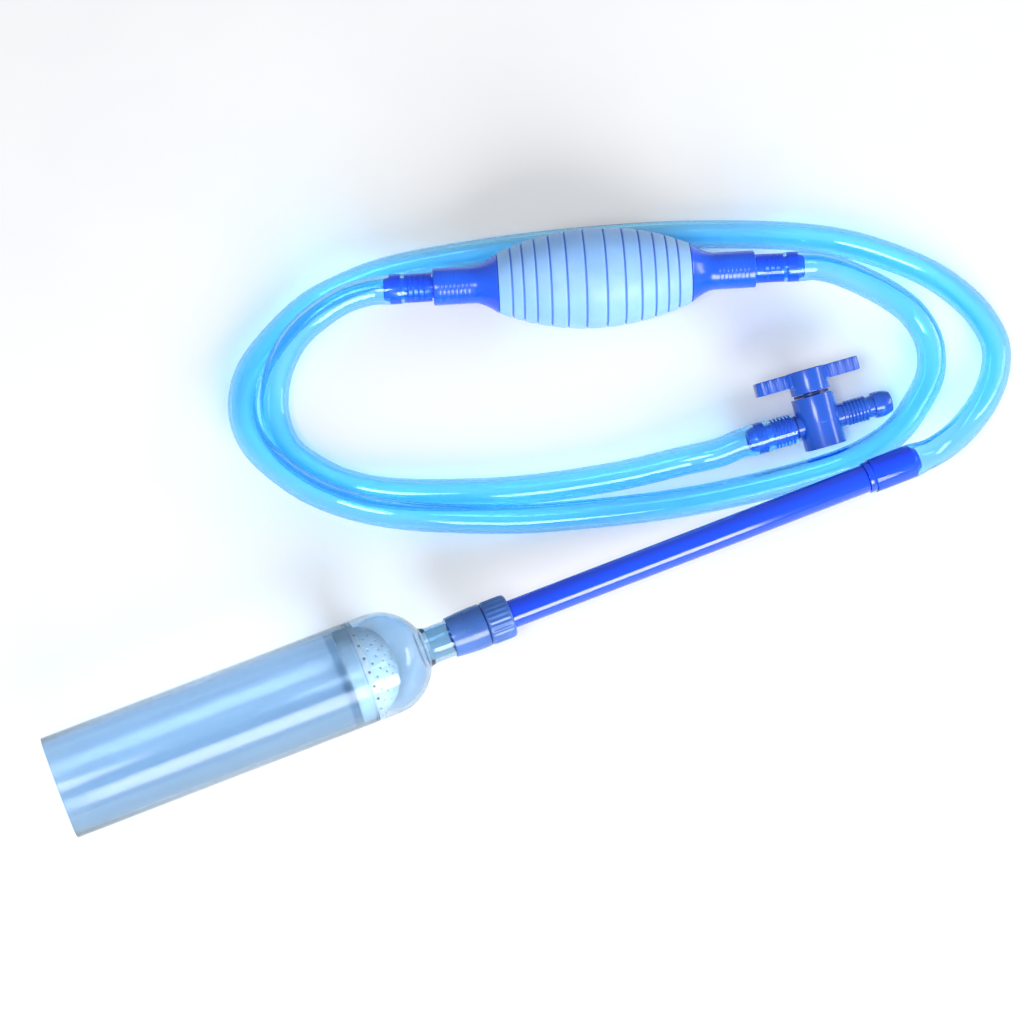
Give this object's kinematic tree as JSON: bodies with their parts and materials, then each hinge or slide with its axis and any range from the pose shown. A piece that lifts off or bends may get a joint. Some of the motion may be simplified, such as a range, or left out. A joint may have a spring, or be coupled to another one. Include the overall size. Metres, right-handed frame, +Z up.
{
  "type": "gravel vacuum siphon",
  "caption": "Aquarium gravel cleaner: clear wide tube with domed end, rod, clear hose, ribbed squeeze bulb with check valves and quarter-turn tap.",
  "frame": {"origin": "middle of the base of the box round all the rigid pieces, on the table the siphon lies on", "axes": "+X along the wand from the gravel tube mouth to the hose end, +Z up from the table"},
  "size_m": [0.5734, 0.259, 0.0555],
  "materials": {
    "tube_clear": "clear, faintly blue",
    "guard_white": "frosted white",
    "seal_dark": "matt",
    "coupling_slate": "satin",
    "rod_blue": "glossy",
    "hose_cyan": "clear flexible PVC",
    "bulb_light_blue": "satin",
    "cap_blue": "glossy, slightly translucent",
    "tap_blue": "glossy",
    "black_rubber": "matt",
    "valve_white": "matt"
  },
  "bodies": {
    "siphon": {"dome_cap": "tube_clear", "tube_seal_ring": "seal_dark", "strainer_guard": "guard_white", "coupling_body": "coupling_slate", "coupling_o_ring": "black_rubber", "wand_rod": "rod_blue", "rod_hose_spigot": "rod_blue", "hose_long": "hose_cyan", "hose_short": "hose_cyan", "hose_long_rod_cuff": "hose_cyan", "hose_long_bulb_cuff": "hose_cyan", "hose_short_bulb_cuff": "hose_cyan", "hose_short_valve_cuff": "hose_cyan", "bulb_shell": "bulb_light_blue", "bulb_inlet_cap": "cap_blue", "bulb_outlet_cap": "cap_blue", "bulb_inlet_barb": "cap_blue", "bulb_outlet_barb": "cap_blue", "bulb_inlet_seat": "black_rubber", "bulb_outlet_seat": "black_rubber", "tap_body": "tap_blue", "tap_retainer_ring": "tap_blue", "tap_inlet_barb": "tap_blue", "tap_outlet_barb": "tap_blue"},
    "gravel_tube": {"gravel_tube": "tube_clear"},
    "slip_ring": {"coupling_slip_ring": "valve_white"},
    "nut": {"coupling_nut": "coupling_slate"},
    "inlet_disc": {"bulb_inlet_valve_disc": "valve_white"},
    "outlet_disc": {"bulb_outlet_valve_disc": "valve_white"},
    "tap_plug": {"tap_plug": "tap_blue", "tap_handle": "tap_blue", "tap_lower_o_ring": "black_rubber", "tap_upper_o_ring": "black_rubber"}
  },
  "joints": [
    {"name": "gravel_tube_pull_off", "type": "slide", "parent": "siphon", "child": "gravel_tube", "axis": [-1, 0, 0], "range_m": [0, 0.03]},
    {"name": "slip_ring_slide", "type": "slide", "parent": "siphon", "child": "slip_ring", "axis": [1, 0, 0], "range_m": [0, 0.003]},
    {"name": "coupling_nut_turn", "type": "hinge", "parent": "slip_ring", "child": "nut", "pos_m": [-0.0023, -0.0914, 0.0276], "axis": [1, 0, 0], "range_deg": [0, 720]},
    {"name": "inlet_disc_lift", "type": "slide", "parent": "siphon", "child": "inlet_disc", "axis": [-0.9478, 0.319, 0], "range_m": [0, 0.002]},
    {"name": "outlet_disc_lift", "type": "slide", "parent": "siphon", "child": "outlet_disc", "axis": [-0.9478, 0.319, 0], "range_m": [0, 0.002]},
    {"name": "tap_turn", "type": "hinge", "parent": "siphon", "child": "tap_plug", "pos_m": [0.2057, -0.0472, 0.0167], "axis": [0.0808, 0.9237, 0.3746], "range_deg": [0, 90]}
  ],
  "couplings": [
    {"joint": "slip_ring_slide", "follows": "coupling_nut_turn", "m_per_rad": 0.00023873}
  ]
}
